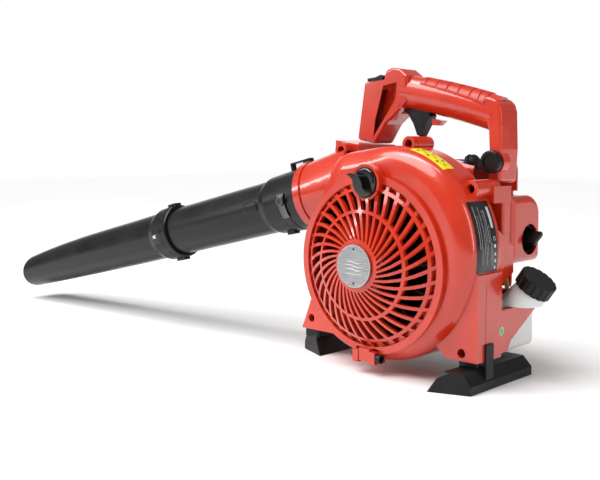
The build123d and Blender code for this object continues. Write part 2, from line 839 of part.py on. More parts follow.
def make_carburettor():
    with BuildPart() as insulator_block:
        with BuildSketch(rear(38)):
            with Locations((CRANK_Y, INTAKE_Z)):
                RectangleRounded(38, 28, 4)
                Circle(7, mode=Mode.SUBTRACT)
        extrude(amount=9)
    insulator_block.part.label = "insulator_block"
    export_step(insulator_block.part, "parts/insulator_block.step")
    with BuildPart() as carburetor:
        with BuildSketch(rear(47)):
            with Locations((CRANK_Y, INTAKE_Z - 1)):
                RectangleRounded(32, 30, 3)
        extrude(amount=34)
        with BuildSketch(level(PUMP_Z)):
            with Locations((64, CRANK_Y)):
                RectangleRounded(30, 36, 4)
        extrude(amount=5)
        with BuildSketch(rear(40)):
            with Locations((CRANK_Y, INTAKE_Z)):
                Circle(7)
        extrude(amount=60, mode=Mode.SUBTRACT)
    carburetor.part.label = "carburetor"
    export_step(carburetor.part, "parts/carburetor.step")
    with BuildPart() as primer_bulb:
        with BuildSketch(level(PUMP_Z - RUN)):
            with Locations((64, CRANK_Y)):
                Circle(9.5)
        extrude(amount=-10)
        fillet(primer_bulb.faces().sort_by(Axis.Z)[0].edges(), 7)
    primer_bulb.part.label = "primer_bulb"
    export_step(primer_bulb.part, "parts/primer_bulb.step")


COVER_Y = (92.0, 156.0)
COVER_Z = (125.0, 201.0)
COVER_REAR = 124.0
CHOKE = (131.0, 151.0)   # y, z of the choke


def cover_outline(x, inset):
    width = COVER_Y[1] - COVER_Y[0] - 2 * inset
    height = COVER_Z[1] - COVER_Z[0] - 2 * inset
    with BuildSketch(rear(x)) as outline:
        with Locations(((COVER_Y[0] + COVER_Y[1]) / 2, (COVER_Z[0] + COVER_Z[1]) / 2)):
            Rectangle(width, height)
        fillet(outline.vertices().group_by(Axis.X)[-1].sort_by(Axis.Y)[-1:], 24 - inset)
        fillet(outline.vertices().group_by(Axis.X)[-1].sort_by(Axis.Y)[:1], 9 - inset)
    return outline.sketch


def make_air_filter():
    with BuildPart() as filter_base:
        extrude(to_extrude=cover_outline(81, 0), amount=5)
        with BuildSketch(rear(70)):
            with Locations((CRANK_Y, INTAKE_Z)):
                Circle(9)
        extrude(amount=30, mode=Mode.SUBTRACT)
        with BuildSketch(rear(86)):
            with Locations(CHOKE):
                Circle(16.5)
                Circle(14.5, mode=Mode.SUBTRACT)
        extrude(amount=34)
        with BuildSketch(rear(86)):
            with Locations(CHOKE):
                Circle(16.5)
                Circle(3.06, mode=Mode.SUBTRACT)
        extrude(amount=22)
    filter_base.part.label = "filter_base"
    export_step(filter_base.part, "parts/filter_base.step")
    with BuildPart() as filter_element:
        extrude(to_extrude=cover_outline(86.2, 4), amount=15)
        with BuildSketch(rear(80)):
            with Locations(CHOKE):
                Circle(17.2)
        extrude(amount=40, mode=Mode.SUBTRACT)
    filter_element.part.label = "filter_element"
    export_step(filter_element.part, "parts/filter_element.step")
    with BuildPart() as filter_cover:
        extrude(to_extrude=cover_outline(86.3, 0), amount=COVER_REAR - 86.3)
        rim = filter_cover.faces().sort_by(Axis.X)[-1].edges()
        fillet(rim, 8)
        extrude(to_extrude=cover_outline(86, 2.5), amount=COVER_REAR - 86 - 2.5, mode=Mode.SUBTRACT)
        with BuildSketch(rear(80)):
            with Locations(CHOKE):
                Circle(17.5)
        extrude(amount=60, mode=Mode.SUBTRACT)
    filter_cover.part.label = "filter_cover"
    export_step(filter_cover.part, "parts/filter_cover.step")
    with BuildPart() as choke_lever:
        with BuildSketch(rear(96)):
            with Locations(CHOKE):
                Circle(3)
        extrude(amount=14)
        with BuildSketch(rear(108.3)):
            with Locations(CHOKE):
                Circle(13.5)
        extrude(amount=3.5)
        with BuildSketch(rear(111)):
            with Locations((CHOKE[0] + 1, CHOKE[1] + 2)):
                RectangleRounded(21, 7, 3, rotation=30)
        extrude(amount=24)
        fillet(choke_lever.faces().sort_by(Axis.X)[-1].edges(), 2)
    choke_lever.part.label = "choke_lever"
    export_step(choke_lever.part, "parts/choke_lever.step")


STARTER_Y = (162.0, 190.0)
ROPE_X = -28.0           # the rope leaves the pulley straight up here
PULLEY_Y = 176.0


def make_starter():
    with BuildPart() as starter_housing:
        with BuildSketch(fan(STARTER_Y[0])):
            Circle(51)
        extrude(amount=-(STARTER_Y[1] - STARTER_Y[0]))
        fillet(starter_housing.faces().sort_by(Axis.Y)[-1].edges(), 8)
        with BuildSketch(fan(160)):
            Circle(48)
        extrude(amount=-(STARTER_Y[1] - 160 - 2.5), mode=Mode.SUBTRACT)
        with BuildSketch(fan(180)):
            with PolarLocations(32, 14):
                RectangleRounded(20, 6, 2.5)
        extrude(amount=-20, mode=Mode.SUBTRACT)
        with BuildSketch(fan(165)):
            Circle(4.95)
        extrude(amount=-(STARTER_Y[1] - 165 - 1))
        with BuildSketch(level(FAN_Z + 36)):
            with Locations((ROPE_X, PULLEY_Y)):
                Circle(8)
        extrude(amount=20)
        with BuildSketch(fan(150)):
            Circle(48)
            Circle(5, mode=Mode.SUBTRACT)
        extrude(amount=-(STARTER_Y[1] - 150 - 2.5), mode=Mode.SUBTRACT)
        with BuildSketch(level(FAN_Z)):
            with Locations((ROPE_X, PULLEY_Y)):
                Circle(2.4)
        extrude(amount=80, mode=Mode.SUBTRACT)
    starter_housing.part.label = "starter_housing"
    export_step(starter_housing.part, "parts/starter_housing.step")
    with BuildPart() as starter_pulley:
        for start, length, radius in ((170, 3, 33), (173, 5.5, 26), (178.5, 2, 33)):
            with BuildSketch(fan(start)):
                Circle(radius)
            extrude(amount=-length)
        with BuildSketch(fan(160)):
            Circle(5.02)
        extrude(amount=-30, mode=Mode.SUBTRACT)
    starter_pulley.part.label = "starter_pulley"
    export_step(starter_pulley.part, "parts/starter_pulley.step")
    with BuildPart() as recoil_spring:
        with BuildSketch(fan(181.2)):
            Circle(25)
            Circle(7, mode=Mode.SUBTRACT)
        extrude(amount=-5.5)
    recoil_spring.part.label = "recoil_spring"
    export_step(recoil_spring.part, "parts/recoil_spring.step")
    with BuildPart() as wound_rope:
        with BuildSketch(fan(173.3)):
            Circle(30)
            Circle(26.05, mode=Mode.SUBTRACT)
        extrude(amount=-5)
    wound_rope.part.label = "wound_rope"
    export_step(wound_rope.part, "parts/wound_rope.step")
    with BuildPart() as starter_handle:
        with BuildSketch(rear(ROPE_X - 24)):
            with Locations((PULLEY_Y, 190)):
                RectangleRounded(14, 13, 6)
        extrude(amount=48)
        fillet(starter_handle.edges().group_by(Axis.X)[0], 3)
        fillet(starter_handle.edges().group_by(Axis.X)[-1], 3)
        with BuildSketch(level(180.5)):
            with Locations((ROPE_X, PULLEY_Y)):
                Circle(5.5)
        extrude(amount=5)
    starter_handle.part.label = "starter_handle"
    export_step(starter_handle.part, "parts/starter_handle.step")


# ---- top handle ----

POST = [(-86, 265), (-75, 335), (-33, 351), (-21, 349), (-9, 340), (-8, 310), (-42, 283), (-57, 260)]
STRUT = [(94, 303), (97, 312), (111, 307), (116, 302), (118.5, 294), (120, 253), (118, 216), (103, 216),
         (103.5, 250), (102, 275)]
SCOOP = [(-45, 330), (-24, 333), (-26, 312), (-60, 268), (-57, 290), (-50, 312)]
DAMPER = (110, 239)      # x, z of the damper between the strut and the case
GRIP_PATH = [(-20, 322), (40, 309.5), (106, 291)]


def handle_body(inset):
    """Post, grip and strut in one piece, shrunk by inset."""
    half = HANDLE_HALF - inset
    with BuildPart() as body:
        for outline, rounds in ((POST, 4), (STRUT, 5)):
            with BuildSketch(side(HANDLE_Y - half)) as face:
                Polygon(*outline, align=None)
                fillet(face.vertices(), rounds)
                if inset:
                    offset(amount=-inset)
            extrude(to_extrude=face.sketch, amount=-2 * half)
        fillet(body.edges().group_by(Axis.Y)[0], 3.5 - inset)
        fillet(body.edges().group_by(Axis.Y)[-1], 3.5 - inset)
        with BuildLine(side(HANDLE_Y)) as path:
            ThreePointArc(*GRIP_PATH)
        start = path.wires()[0] % 0
        origin = path.wires()[0] @ 0
        with BuildSketch(Plane(origin=origin, x_dir=(0, -1, 0), z_dir=start)) as section:
            Ellipse(GRIP_WIDE / 2 - inset, GRIP_TALL / 2 - inset)
        sweep(sections=section.sketch, path=path.wires()[0])
    return body.part


def make_handle():
    with BuildPart() as handle:
        add(handle_body(0))
        add(handle_body(HANDLE_WALL), mode=Mode.SUBTRACT)
        # block under the stop switch, then its ledge and the recess in the near side of the post
        with BuildSketch(side(HANDLE_Y - HANDLE_HALF + 1)):
            Polygon((-74, 325), (-38, 325), (-34, 348), (-70, 336), align=None)
        extrude(amount=-19)
        with BuildSketch(side(HANDLE_Y - HANDLE_HALF - 1)):
            Polygon((-90, 334), (-43, 337), (-37, 356), (-90, 356), align=None)
        extrude(amount=-17, mode=Mode.SUBTRACT)
        with BuildSketch(side(HANDLE_Y - HANDLE_HALF + 1)) as lining:
            Polygon(*SCOOP, align=None)
            offset(amount=2)
        extrude(to_extrude=lining.sketch, amount=-13)
        with BuildSketch(side(HANDLE_Y - HANDLE_HALF - 1)):
            Polygon(*SCOOP, align=None)
        extrude(amount=-12, mode=Mode.SUBTRACT)
        # boss behind the damper
        with BuildSketch(side(HANDLE_Y - HANDLE_HALF)):
            with Locations(DAMPER):
                Circle(13.5)
        extrude(amount=-12)
        # slot for the trigger
        with BuildSketch(level(285)):
            with Locations((0, HANDLE_Y)):
                Rectangle(52, 14)
        extrude(amount=30, mode=Mode.SUBTRACT)
        with BuildSketch(side(HANDLE_Y - HANDLE_HALF - 1)):
            with Locations((-19, 304)):
                Circle(2.55)
        extrude(amount=-40, mode=Mode.SUBTRACT)
    for label, keep in (("handle_left", Keep.TOP), ("handle_right", Keep.BOTTOM)):
        with BuildPart() as half:
            add(handle.part)
            split(bisect_by=side(HANDLE_Y), keep=keep)
        half.part.label = label
        export_step(half.part, f"parts/{label}.step")


def make_controls():
    with BuildPart() as throttle_trigger:
        with BuildSketch(side(HANDLE_Y - 6.5)):
            Polygon((-24, 300), (-21, 309), (10, 306), (17, 292), (2.5, 268), (-2, 270), (-8, 284),
                    (-17, 297), align=None)
        extrude(amount=-13)
        with BuildSketch(side(60)):
            with Locations((-19, 304)):
                Circle(2.55)
        extrude(amount=-60, mode=Mode.SUBTRACT)
    throttle_trigger.part.label = "throttle_trigger"
    export_step(throttle_trigger.part, "parts/throttle_trigger.step")
    with BuildPart() as trigger_pin:
        with BuildSketch(side(HANDLE_Y - HANDLE_HALF + 0.5)):
            with Locations((-19, 304)):
                Circle(2.5)
        extrude(amount=-(2 * HANDLE_HALF - 1))
    trigger_pin.part.label = "trigger_pin"
    export_step(trigger_pin.part, "parts/trigger_pin.step")
    with BuildPart() as trigger_stop:
        with BuildSketch(side(HANDLE_Y - 6)):
            Polygon((19, 289), (33, 286), (26, 280.5), (20, 281), align=None)
        extrude(amount=-12)
    trigger_stop.part.label = "trigger_stop"
    export_step(trigger_stop.part, "parts/trigger_stop.step")
    with BuildPart() as stop_switch:
        with BuildSketch(side(78)):
            Polygon((-72, 336.2), (-49, 337.6), (-48, 341), (-52, 343.5), (-59, 341), (-72, 340), align=None)
        extrude(amount=-11.5)
    stop_switch.part.label = "stop_switch"
    export_step(stop_switch.part, "parts/stop_switch.step")
    with BuildPart() as damper_cap:
        with BuildSketch(side(66)):
            with Locations(DAMPER):
                Circle(12.5)
        extrude(amount=-8.5)
        fillet(damper_cap.faces().sort_by(Axis.Y)[0].edges(), 2)
        with BuildSketch(side(65)):
            with Locations(DAMPER):
                Circle(8)
        extrude(amount=-2.5, mode=Mode.SUBTRACT)
    damper_cap.part.label = "damper_cap"
    export_step(damper_cap.part, "parts/damper_cap.step")


# ---- fuel ----

CAP = (148.0, 103.0, 106.0)   # middle of the tank cap
CAP_TILT = 35.0               # degrees that the filler leans to the rear
CAP_R = 21.0


def filler_plane(s):
    tilt = radians(CAP_TILT)
    origin = at(CAP[0] + s * sin(tilt), CAP[1], CAP[2] + s * cos(tilt))
    return Plane(origin=origin, x_dir=(0, -1, 0), z_dir=(sin(tilt), 0, cos(tilt)))


def tank_body(inset):
    with BuildPart() as body:
        with BuildSketch(side(66 + inset)) as outline:
            Polygon((-66, 27), (119, 27), (119, 89), (66, 89), (54, 80), (-66, 80), align=None)
            fillet(outline.vertices(), 6)
            if inset:
                offset(amount=-inset)
        extrude(to_extrude=outline.sketch, amount=-(86 - 2 * inset))
        fillet(body.edges().group_by(Axis.Y)[0], 5 - inset)
        fillet(body.edges().group_by(Axis.Y)[-1], 5 - inset)
    return body.part


def filler_neck(inset, top):
    with BuildPart() as neck:
        with BuildSketch(filler_plane(-46 + 2 * inset)) as low:
            Circle(25 - inset)
        with BuildSketch(filler_plane(top)) as high:
            Circle(16.5 - inset)
        loft(sections=[low.sketch, high.sketch])
    return neck.part


def arm_gap(clear):
    """The space beside and over the tank arm."""
    with BuildPart() as gap:
        with BuildSketch(side(30)):
            Polygon((121.5 - clear, 20), (175, 20), (175, 81 + clear), (121.5 - clear, 81 + clear),
                    align=None)
        extrude(amount=-150)
    return gap.part


def make_tank():
    with BuildPart() as outer:
        add(tank_body(0))
        add(filler_neck(0, -2.2))
        add(arm_gap(0), mode=Mode.SUBTRACT)
    with BuildPart() as inner:
        add(tank_body(2))
        add(filler_neck(2, 0))
        add(arm_gap(2), mode=Mode.SUBTRACT)
    with BuildPart() as fuel_tank:
        add(outer.part)
        add(inner.part, mode=Mode.SUBTRACT)
        with BuildSketch(level(80)):
            with Locations((104, 117)):
                Circle(5)
        extrude(amount=20, mode=Mode.SUBTRACT)
    fuel_tank.part.label = "fuel_tank"
    export_step(fuel_tank.part, "parts/fuel_tank.step")
    with BuildPart() as cap_gasket:
        with BuildSketch(filler_plane(-2.15)):
            Circle(17)
            Circle(12, mode=Mode.SUBTRACT)
        extrude(amount=2.1)
    cap_gasket.part.label = "cap_gasket"
    export_step(cap_gasket.part, "parts/cap_gasket.step")
    with BuildPart() as tank_cap:
        with BuildSketch(filler_plane(-7.5)):
            Circle(CAP_R)
            with PolarLocations(CAP_R + 0.4, 16):
                Circle(1.6, mode=Mode.SUBTRACT)
        extrude(amount=15.5)
        outward = Axis(filler_plane(0).origin, filler_plane(0).z_dir)
        fillet(tank_cap.faces().sort_by(outward)[-1].edges(), 1)
        with BuildSketch(filler_plane(-9)):
            Circle(18)
        extrude(amount=9, mode=Mode.SUBTRACT)
    tank_cap.part.label = "tank_cap"
    export_step(tank_cap.part, "parts/tank_cap.step")
    with BuildPart() as tank_grommet:
        with BuildSketch(level(84)):
            with Locations((104, 117)):
                Circle(4.9)
        extrude(amount=8)
        with BuildSketch(level(89)):
            with Locations((104, 117)):
                Circle(9)
        extrude(amount=3)
        with BuildSketch(level(80)):
            with Locations((104, 117)):
                Circle(2.6)
        extrude(amount=20, mode=Mode.SUBTRACT)
    tank_grommet.part.label = "tank_grommet"
    export_step(tank_grommet.part, "parts/tank_grommet.step")


FUEL_ROUTE = [(104, 117, 74), (104, 117, 98), (101, 117, 112), (86, 118.5, 117), (74, 119, 127),
              (73, 119, PUMP_Z)]
FUEL_R = 2.5


def make_fuel_line():
    points = [at(*point) for point in FUEL_ROUTE]
    radii = []
    for before, here, after in zip(points, points[1:], points[2:]):
        turn = (here - before).get_angle(after - here)
        run = min((here - before).length, (after - here).length)
        radii.append(0.45 * run / tan(radians(turn / 2)))
    print("fuel line bend radii", [round(radius, 1) for radius in radii])
    with BuildPart() as fuel_line:
        with BuildLine() as path:
            FilletPolyline(*points, radius=radii)
        start = path.wires()[0]
        with BuildSketch(Plane(origin=start @ 0, z_dir=start % 0)):
            Circle(FUEL_R)
        sweep(path=path.wires()[0])
    print("fuel line length", round(path.wires()[0].length, 1))
    fuel_line.part.label = "fuel_line"
    export_step(fuel_line.part, "parts/fuel_line.step")


# ---- feet ----

def foot(sign, near_in, near_out):
    """A foot along Y, its near end cut aslant; sign is +1 for the rear one, -1 for the front one."""
    profile = [(92, 0), (135, 0), (135, 9), (128, 22), (106, 22)]
    with BuildPart() as block:
        with BuildSketch(side(near_in)):
            Polygon(*[(sign * x, z) for x, z in profile], align=None)
        extrude(amount=-(FOOT_BACK - near_in))
        with BuildSketch(level(-1)):
            Polygon((sign * 88, near_in - 1), (sign * 140, near_in - 1), (sign * 140, near_out + 2),
                    align=None)
        extrude(amount=40, mode=Mode.SUBTRACT)
        with BuildSketch(rear(sign * 85 if sign > 0 else -140)):
            Polygon((FOOT_BACK + 1, 8), (FOOT_BACK + 1, 40), (FOOT_BACK - 16, 40), align=None)
            Polygon((near_in - 1, 8), (near_in - 1, 40), (near_in + 22, 40), align=None)
        extrude(amount=60, mode=Mode.SUBTRACT)
        with BuildSketch(level(20)):
            with Locations((sign * 114, 40)):
                RectangleRounded(24, 34, 3)
        extrude(amount=10)
    return block.part


def make_feet():
    with BuildPart() as front_foot:
        add(foot(-1, 14, 32))
    front_foot.part.label = "front_foot"
    export_step(front_foot.part, "parts/front_foot.step")
    with BuildPart() as rear_foot:
        add(foot(1, -20, -3))
        with BuildSketch(rear(132)):
            Polygon((27, 11), (41, 11), (41, 48), (27, 48), align=None)
        extrude(amount=2.5)
    rear_foot.part.label = "rear_foot"
    export_step(rear_foot.part, "parts/rear_foot.step")


# ---- air tube ----

def clip_plane(radius=0.0):
    """Plane square to the clip screw, at a radius from the tube's axis."""
    return Plane(origin=RIM + BLOW * CLIP_S + ACROSS * radius, x_dir=BLOW, z_dir=ACROSS)


def make_outlet_tube():
    with BuildPart() as outlet_tube:
        with BuildSketch(blow_section()):
            Polygon(
                (-28, RIM_BORE_R - 3), (-28, RIM_BORE_R - 0.8), (1, RIM_BORE_R - 0.8), (1, COLLAR_R),
                (18, COLLAR_R - 1), (COLLAR_END - 10, 37.5), (COLLAR_END - 5, 36),
                (COLLAR_END, TUBE_R + 0.6), (TUBE_LENGTH, TUBE_R), (TUBE_LENGTH, TUBE_R - TUBE_WALL),
                (COLLAR_END, TUBE_R - TUBE_WALL), (20, RIM_BORE_R - 4),
                align=None)
        revolve(axis=BLOW_AXIS, revolution_arc=360)
        # hook that reaches back over the rim
        with BuildSketch(blow_plane(24)):
            with Locations((0, 43)):
                Rectangle(8, 11)
        extrude(amount=3)
        with BuildSketch(blow_plane(-6)):
            with Locations((0, RIM_R + 5.5)):
                Rectangle(8, 2)
        extrude(amount=30)
        with BuildSketch(blow_plane(-6)):
            with Locations((0, RIM_R + 4.5)):
                Rectangle(8, 4)
        extrude(amount=12)
        # lug underneath
        with BuildSketch(blow_plane(34)):
            with Locations((6, -38)):
                Rectangle(11, 6)
        extrude(amount=12)
        # seat of the clip screw
        with BuildSketch(clip_plane()):
            Circle(2.05)
        extrude(amount=60, mode=Mode.SUBTRACT)
        with BuildSketch(blow_plane(30)):
            Circle(TUBE_R - 1)
        extrude(amount=30, mode=Mode.SUBTRACT)
    outlet_tube.part.label = "outlet_tube"
    export_step(outlet_tube.part, "parts/outlet_tube.step")
    with BuildPart() as tube_clip:
        with BuildSketch(blow_plane(CLIP_S - 5)):
            Circle(COLLAR_R + 1)
            Circle(COLLAR_R - 0.4, mode=Mode.SUBTRACT)
            Polygon((0, 9), (60, 9), (60, -24), (0, -19), align=None, mode=Mode.INTERSECT)
        extrude(amount=10)
        with BuildSketch(clip_plane()):
            Circle(2.05)
        extrude(amount=60, mode=Mode.SUBTRACT)
    tube_clip.part.label = "tube_clip"
    export_step(tube_clip.part, "parts/tube_clip.step")
    with BuildPart() as clip_screw:
        with BuildSketch(clip_plane(COLLAR_R - 3)):
            Circle(2)
        extrude(amount=5)
        with BuildSketch(clip_plane(COLLAR_R + 1.05)):
            Circle(6)
        extrude(amount=3)
        fillet(clip_screw.faces().sort_by(Axis(RIM, ACROSS))[-1].edges(), 1.2)
        with BuildSketch(clip_plane(COLLAR_R + 2.6)):
            Rectangle(6, 1.2)
            Rectangle(1.2, 6)
        extrude(amount=3, mode=Mode.SUBTRACT)
    clip_screw.part.label = "clip_screw"
    export_step(clip_screw.part, "parts/clip_screw.step")


NOZZLE_SECTIONS = [  # distance from the rim, half width, half height, drop of the centre
    (NOZZLE_START + 38, 33.6, 33.6, 0.0),
    (446, 32.0, 32.0, 0.0),
    (550, 31.5, 29.5, 0.8),
    (NOZZLE_END, 31.0, 25.0, 3.0),
]


def nozzle_body(inset):
    faces = []
    for distance, wide, tall, drop in NOZZLE_SECTIONS:
        with BuildSketch(blow_plane(distance)) as section:
            with Locations((0, -drop)):
                Ellipse(wide - inset, tall - inset)
        faces.append(section.sketch)
    with BuildPart() as body:
        loft(sections=faces)
    return body.part


def make_nozzle():
    with BuildPart() as nozzle:
        add(nozzle_body(0))
        with BuildSketch(blow_section()):
            Polygon(
                (NOZZLE_START, 30), (NOZZLE_START, BELL_R - 1), (NOZZLE_START + 2, BELL_R),
                (NOZZLE_START + 28, BELL_R), (NOZZLE_START + 34, BELL_R - 2),
                (NOZZLE_START + 41, 33.5), (NOZZLE_START + 41, 30), align=None)
        revolve(axis=BLOW_AXIS, revolution_arc=360)
        with BuildSketch(blow_plane(NOZZLE_START + 4)):
            with Locations((0, BELL_R), (0, -BELL_R)):
                Rectangle(11, 7)
        extrude(amount=16)
        add(nozzle_body(1.8), mode=Mode.SUBTRACT)
        with BuildSketch(blow_plane(NOZZLE_START - 1)):
            Circle(TUBE_R + RUN)
        extrude(amount=TUBE_LENGTH - NOZZLE_START + 1.5, mode=Mode.SUBTRACT)
        with BuildSketch(blow_plane(NOZZLE_START + 18)):
            Circle(31)
        extrude(amount=30, mode=Mode.SUBTRACT)
        # the mouth is cut aslant
        with BuildSketch(blow_section()):
            Polygon((NOZZLE_END - 16, 50), (NOZZLE_END + 2, -50), (NOZZLE_END + 30, -50),
                    (NOZZLE_END + 30, 50), align=None)
        extrude(amount=60, both=True, mode=Mode.SUBTRACT)
    nozzle.part.label = "nozzle"
    export_step(nozzle.part, "parts/nozzle.step")


def main():
    os.makedirs("parts", exist_ok=True)
    make_case()
    make_case_screws()
    make_intake_grille()
    make_grille_trim()
    make_grille_knob()
    make_impeller()
    make_crankshaft()
    make_bearings()
    make_crankcase()
    make_cylinder()
    make_piston()
    make_flywheel()
    make_spark_plug()
    make_muffler()
    make_engine_shroud()
    make_carburettor()
    make_air_filter()
    make_starter()
    make_handle()
    make_controls()
    make_tank()
    make_fuel_line()
    make_feet()
    make_outlet_tube()
    make_nozzle()


main()
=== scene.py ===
import json
from math import cos, pi, radians, sin, sqrt

import bpy
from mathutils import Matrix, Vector
from mathutils.bvhtree import BVHTree


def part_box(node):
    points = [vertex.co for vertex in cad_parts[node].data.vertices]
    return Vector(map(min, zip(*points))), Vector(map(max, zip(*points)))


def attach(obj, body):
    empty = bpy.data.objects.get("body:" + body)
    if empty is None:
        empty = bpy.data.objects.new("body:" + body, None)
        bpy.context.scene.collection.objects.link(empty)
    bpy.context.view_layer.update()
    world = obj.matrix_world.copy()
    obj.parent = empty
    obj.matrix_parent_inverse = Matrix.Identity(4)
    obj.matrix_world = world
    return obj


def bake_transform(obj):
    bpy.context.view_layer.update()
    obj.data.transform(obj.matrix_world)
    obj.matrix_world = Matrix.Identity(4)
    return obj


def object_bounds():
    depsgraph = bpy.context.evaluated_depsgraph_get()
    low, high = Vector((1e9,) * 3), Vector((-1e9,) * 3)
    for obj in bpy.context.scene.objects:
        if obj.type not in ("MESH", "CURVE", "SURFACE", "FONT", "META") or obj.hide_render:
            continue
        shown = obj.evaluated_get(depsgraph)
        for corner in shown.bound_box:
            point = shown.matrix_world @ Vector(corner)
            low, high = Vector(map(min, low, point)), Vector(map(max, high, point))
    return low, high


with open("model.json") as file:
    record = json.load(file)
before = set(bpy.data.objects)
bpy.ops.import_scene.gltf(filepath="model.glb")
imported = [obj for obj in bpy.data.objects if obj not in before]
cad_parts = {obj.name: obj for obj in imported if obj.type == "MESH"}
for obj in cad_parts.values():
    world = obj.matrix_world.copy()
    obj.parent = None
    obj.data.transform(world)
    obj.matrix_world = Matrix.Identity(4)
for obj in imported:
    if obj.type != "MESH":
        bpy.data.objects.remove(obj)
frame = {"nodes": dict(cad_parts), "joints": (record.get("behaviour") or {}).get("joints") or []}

# Hand-held petrol leaf blower. The CAD model gives every solid part; this script gives the
# materials, the stickers and moulded details that lie on the parts, the starter rope, and the
# studio. Lengths are in metres; places on the machine are given in millimetres by at().

CAD_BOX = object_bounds()
NODES = frame["nodes"]
JOINTS = {joint["name"]: joint for joint in frame["joints"]}
MM = 0.001
HANDLE_Y = 93.0       # parting plane of the handle, from the scroll's front face
TUBE_R = 33.5         # bare air tube
FILM = 0.00025        # how far a sticker stands off the wall
INK = 0.00040         # how far its print stands off the wall

# ---- places, all worked out from the frame ----

SHAFT = Vector(JOINTS["crank_spin"]["pos_m"])
RIM = Vector(JOINTS["nozzle_turn"]["pos_m"])
BLOW = Vector(JOINTS["nozzle_turn"]["axis"]).normalized()
ACROSS = Vector((-BLOW.y, BLOW.x, 0)).normalized()     # level, square to the tube, towards -Y
UPWARD = ACROSS.cross(BLOW).normalized()
if UPWARD.z < 0:
    UPWARD.negate()


def at(x, y, z):
    """A point from the fan shaft (x), the scroll's front face (y) and the ground (z), in mm."""
    return Vector((SHAFT.x + x * MM, SHAFT.y + y * MM, z * MM))


def on_tube(distance, angle, radius):
    """A point round the air tube, angle from straight up towards the near side; mm and degrees."""
    turn = radians(angle)
    outward = UPWARD * cos(turn) + ACROSS * sin(turn)
    return RIM + BLOW * distance * MM + outward * radius * MM


# ---- materials ----

def node(tree, kind, **sockets):
    made = tree.nodes.new(kind)
    for name, value in sockets.items():
        made.inputs[name].default_value = value
    return made


def blank(name):
    material = bpy.data.materials.new(name)
    material.use_nodes = True
    tree = material.node_tree
    return material, tree, tree.nodes["Principled BSDF"]


def place_nodes(tree, stretch=(1, 1, 1)):
    """Object coordinates, scaled for grain that runs one way."""
    coordinates = tree.nodes.new("ShaderNodeTexCoord")
    mapping = tree.nodes.new("ShaderNodeMapping")
    mapping.inputs["Scale"].default_value = stretch
    tree.links.new(coordinates.outputs["Object"], mapping.inputs["Vector"])
    return mapping.outputs["Vector"]


def noise(tree, vector, scale, detail=3.0):
    made = node(tree, "ShaderNodeTexNoise", Scale=scale, Detail=detail)
    tree.links.new(vector, made.inputs["Vector"])
    return made.outputs["Fac"]


def blend_colours(tree, factor, dark, light, low=0.35, high=0.65):
    ramp = tree.nodes.new("ShaderNodeValToRGB")
    ramp.color_ramp.elements[0].position = low
    ramp.color_ramp.elements[0].color = (*dark, 1)
    ramp.color_ramp.elements[1].position = high
    ramp.color_ramp.elements[1].color = (*light, 1)
    tree.links.new(factor, ramp.inputs["Fac"])
    return ramp.outputs["Color"]


def spread(tree, factor, low, high):
    """A roughness between low and high that follows the factor."""
    made = node(tree, "ShaderNodeMapRange")
    made.inputs["From Min"].default_value = 0.3
    made.inputs["From Max"].default_value = 0.7
    made.inputs["To Min"].default_value = low
    made.inputs["To Max"].default_value = high
    tree.links.new(factor, made.inputs["Value"])
    return made.outputs["Result"]


def bump(tree, height, strength, depth=0.0004):
    made = node(tree, "ShaderNodeBump", Strength=strength, Distance=depth)
    tree.links.new(height, made.inputs["Height"])
    return made.outputs["Normal"]


def surface(name, dark, light, rough, patch=40.0, grain=1500.0, relief=0.15, metal=0.0,
            coat=0.0, stretch=(1, 1, 1), subsurface=0.0, transmission=0.0, specular=0.5):
    """A moulded, cast or machined surface: patchy colour and gloss over a fine grain."""
    material, tree, shader = blank(name)
    where = place_nodes(tree, stretch)
    patches = noise(tree, where, patch)
    tree.links.new(blend_colours(tree, patches, dark, light), shader.inputs["Base Color"])
    tree.links.new(spread(tree, patches, *rough), shader.inputs["Roughness"])
    tree.links.new(bump(tree, noise(tree, where, grain), relief), shader.inputs["Normal"])
    shader.inputs["Metallic"].default_value = metal
    shader.inputs["Specular IOR Level"].default_value = specular
    shader.inputs["Coat Weight"].default_value = coat
    shader.inputs["Coat Roughness"].default_value = 0.04
    shader.inputs["Subsurface Weight"].default_value = subsurface
    shader.inputs["Subsurface Scale"].default_value = 0.004
    shader.inputs["Transmission Weight"].default_value = transmission
    return material


def exhaust_steel():
    """Steel that the exhaust has stained straw and blue in clouds."""
    material, tree, shader = blank("exhaust_steel")
    where = place_nodes(tree)
    clouds = noise(tree, where, 22.0, 5.0)
    ramp = tree.nodes.new("ShaderNodeValToRGB")
    stops = ((0.30, (0.30, 0.27, 0.24)), (0.50, (0.42, 0.34, 0.22)), (0.62, (0.20, 0.21, 0.27)))
    ramp.color_ramp.elements.new(0.5)
    for element, (position, colour) in zip(ramp.color_ramp.elements, stops):
        element.position = position
        element.color = (*colour, 1)
    tree.links.new(clouds, ramp.inputs["Fac"])
    tree.links.new(ramp.outputs["Color"], shader.inputs["Base Color"])
    tree.links.new(spread(tree, clouds, 0.30, 0.55), shader.inputs["Roughness"])
    tree.links.new(bump(tree, noise(tree, where, 900.0), 0.2), shader.inputs["Normal"])
    shader.inputs["Metallic"].default_value = 1.0
    return material


def cells(name, dark, light, size, relief):
    """Foam: small open cells."""
    material, tree, shader = blank(name)
    where = place_nodes(tree)
    pores = node(tree, "ShaderNodeTexVoronoi", Scale=size)
    tree.links.new(where, pores.inputs["Vector"])
    tree.links.new(
        blend_colours(tree, pores.outputs["Distance"], dark, light, 0.1, 0.6),
        shader.inputs["Base Color"])
    tree.links.new(bump(tree, pores.outputs["Distance"], relief, 0.001), shader.inputs["Normal"])
    tree.links.new(spread(tree, pores.outputs["Distance"], 0.8, 1.0), shader.inputs["Roughness"])
    return material


